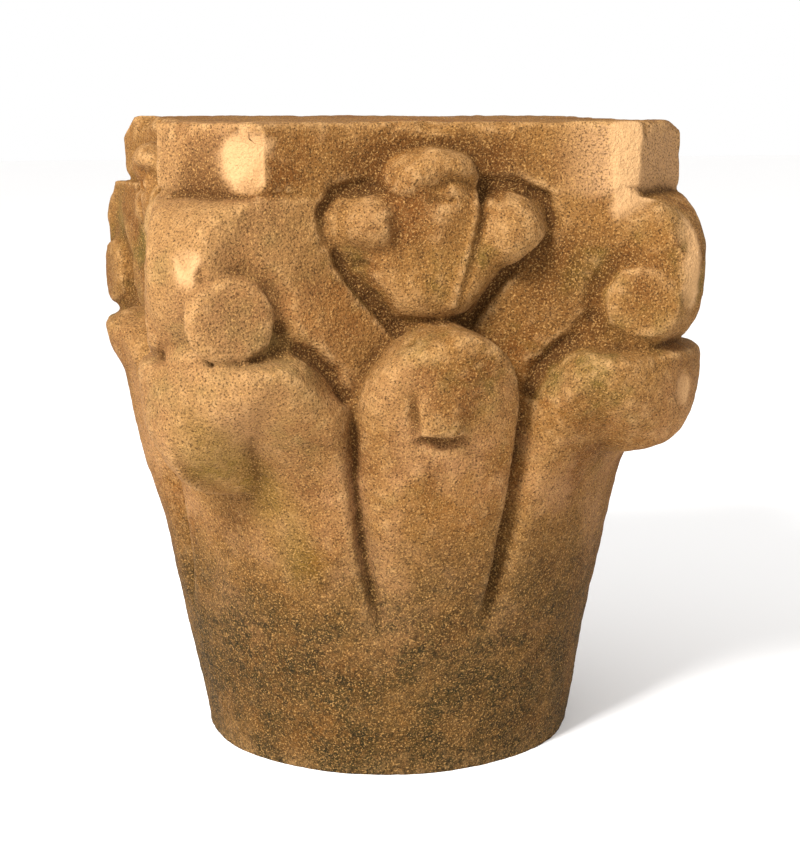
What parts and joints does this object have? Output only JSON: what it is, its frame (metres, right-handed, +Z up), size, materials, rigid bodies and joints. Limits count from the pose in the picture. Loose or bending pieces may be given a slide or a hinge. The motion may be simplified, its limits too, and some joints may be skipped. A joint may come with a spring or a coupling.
{
  "type": "foliate capital",
  "caption": "Worn sandstone column capital: a round bell wrapped in leaves, with corner volutes, a flower on each face and a square abacus with hollow sides.",
  "frame": {"origin": "centre of the bottom bed, the round face that sits on the shaft", "axes": "+Z up along the column's axis, -Y the front face with the broken leaf tip"},
  "size_m": [0.3084, 0.3084, 0.34],
  "materials": {
    "sandstone": "weathered, grainy, with moss low down"
  },
  "bodies": {
    "root": {"capital": "sandstone"}
  },
  "joints": []
}
